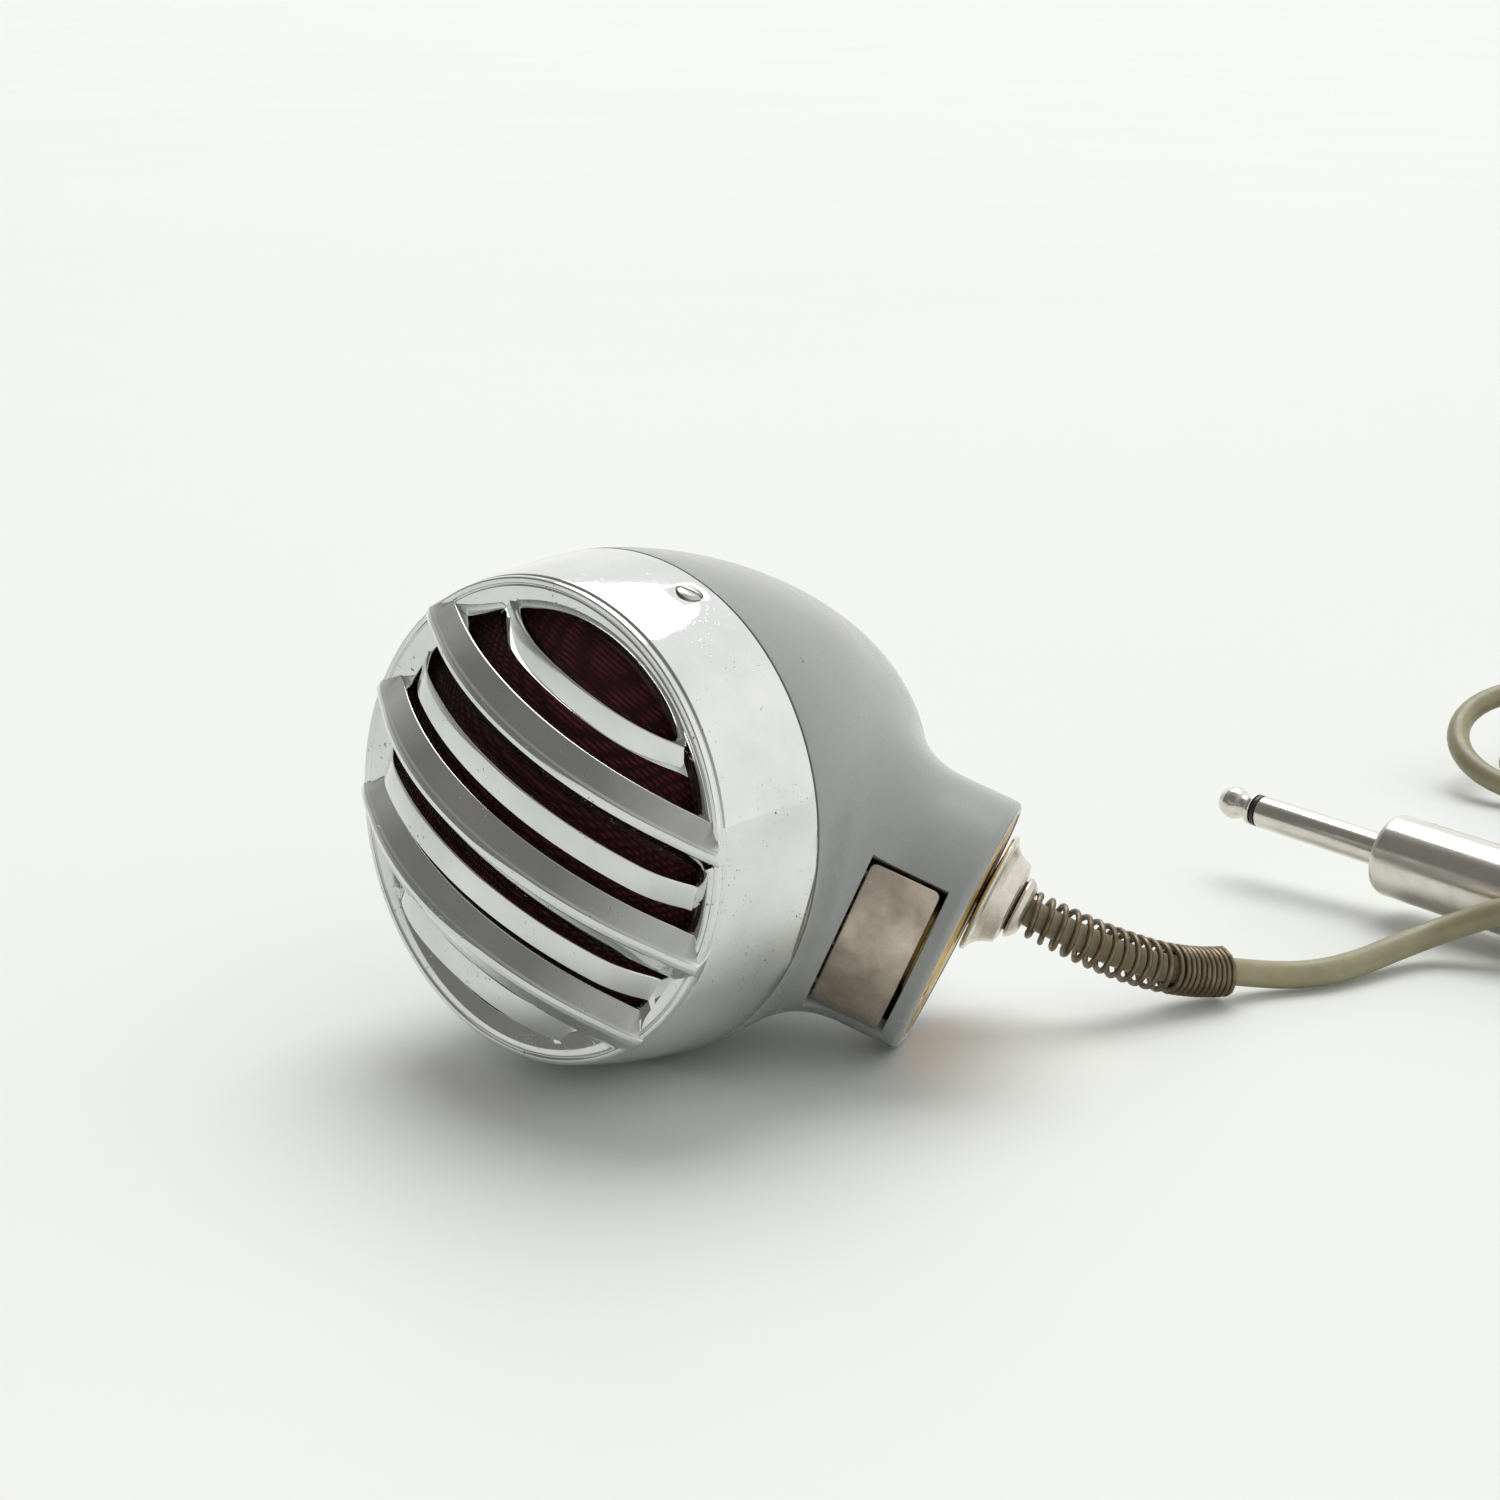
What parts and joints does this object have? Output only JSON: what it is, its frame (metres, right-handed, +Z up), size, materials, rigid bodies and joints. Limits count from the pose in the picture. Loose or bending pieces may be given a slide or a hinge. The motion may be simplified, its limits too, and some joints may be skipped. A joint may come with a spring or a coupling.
{
  "type": "hand microphone",
  "caption": "Bullet hand microphone lying on its side: ribbed metal front, ovoid shell, stem with a press lever, spring-sleeved cable in a tied hank, phone plug.",
  "frame": {"origin": "bottom centre of the bounding box of the microphone without its cable, on the floor it lies on", "axes": "+Z up, front grille faces -Y, the stem leans towards +X; the microphone lies on its right side"},
  "size_m": [0.2009, 0.3664, 0.0826],
  "materials": {
    "chrome": "polished, a little pitted",
    "shell_enamel": "glossy enamel over a casting",
    "nickel": "satin nickel, worn",
    "brass": "turned, slightly tarnished",
    "steel": "plated",
    "aluminium": "satin",
    "grille_cloth": "woven",
    "black_rubber": "matt",
    "black_plastic": "matt",
    "fibre": "pressed fibre board",
    "cable": "smooth vinyl jacket",
    "clear_tape": "clear tape"
  },
  "bodies": {
    "microphone": {"baffle_gasket": "black_rubber", "baffle_screw_1": "steel", "baffle_screw_2": "steel", "baffle_screw_3": "steel", "band_screw_left": "steel", "band_screw_right": "steel", "base_plate": "brass", "base_screw_1": "brass", "base_screw_2": "brass", "capsule_baffle": "aluminium", "capsule_case": "aluminium", "capsule_diaphragm": "aluminium", "capsule_drive_pin": "brass", "capsule_drive_unit": "steel", "capsule_front_cap": "aluminium", "capsule_rear_cover": "fibre", "capsule_terminal_1": "brass", "capsule_terminal_2": "brass", "cloth_retaining_ring": "steel", "cloth_screen": "steel", "connector_body": "nickel", "connector_receptacle": "nickel", "contact_leaf_fixed": "brass", "cord": "cable", "cord_hank": "cable", "cord_tail": "cable", "front_grille": "chrome", "grille_cloth": "grille_cloth", "hank_tie": "clear_tape", "lever_pin": "steel", "lever_return_spring": "steel", "plug_barrel": "nickel", "plug_insulator": "black_plastic", "plug_sleeve": "nickel", "plug_tip": "nickel", "receptacle_nut": "brass", "shell": "shell_enamel", "stand_bushing": "brass", "strain_relief_spring": "nickel", "switch_bracket": "steel", "switch_insulator_front": "fibre", "switch_insulator_rear": "fibre"},
    "lever": {"press_lever": "nickel", "lever_pad": "fibre"},
    "contact_blade": {"contact_leaf_moving": "brass", "contact_point": "brass"},
    "connector_ring": {"coupling_ring": "nickel"}
  },
  "joints": [
    {"name": "lever_press", "type": "hinge", "parent": "microphone", "child": "lever", "pos_m": [0.02896, 0.00004, 0.0241], "axis": [0.4249, 0.0506, 0.9038], "range_deg": [0, 5], "stiffness_Nm_per_rad": 0.35, "springref_deg": -2.86},
    {"name": "contact_close", "type": "hinge", "parent": "microphone", "child": "contact_blade", "pos_m": [0.02873, 0.00336, 0.02402], "axis": [0.4249, 0.0506, 0.9038], "range_deg": [0, 7.5]},
    {"name": "ring_turn", "type": "hinge", "parent": "microphone", "child": "connector_ring", "pos_m": [0.03142, 0.03683, 0.02088], "axis": [0.8224, 0.3956, -0.4088], "continuous": true}
  ],
  "couplings": [
    {"joint": "contact_close", "follows": "lever_press", "ratio": 1.4}
  ]
}
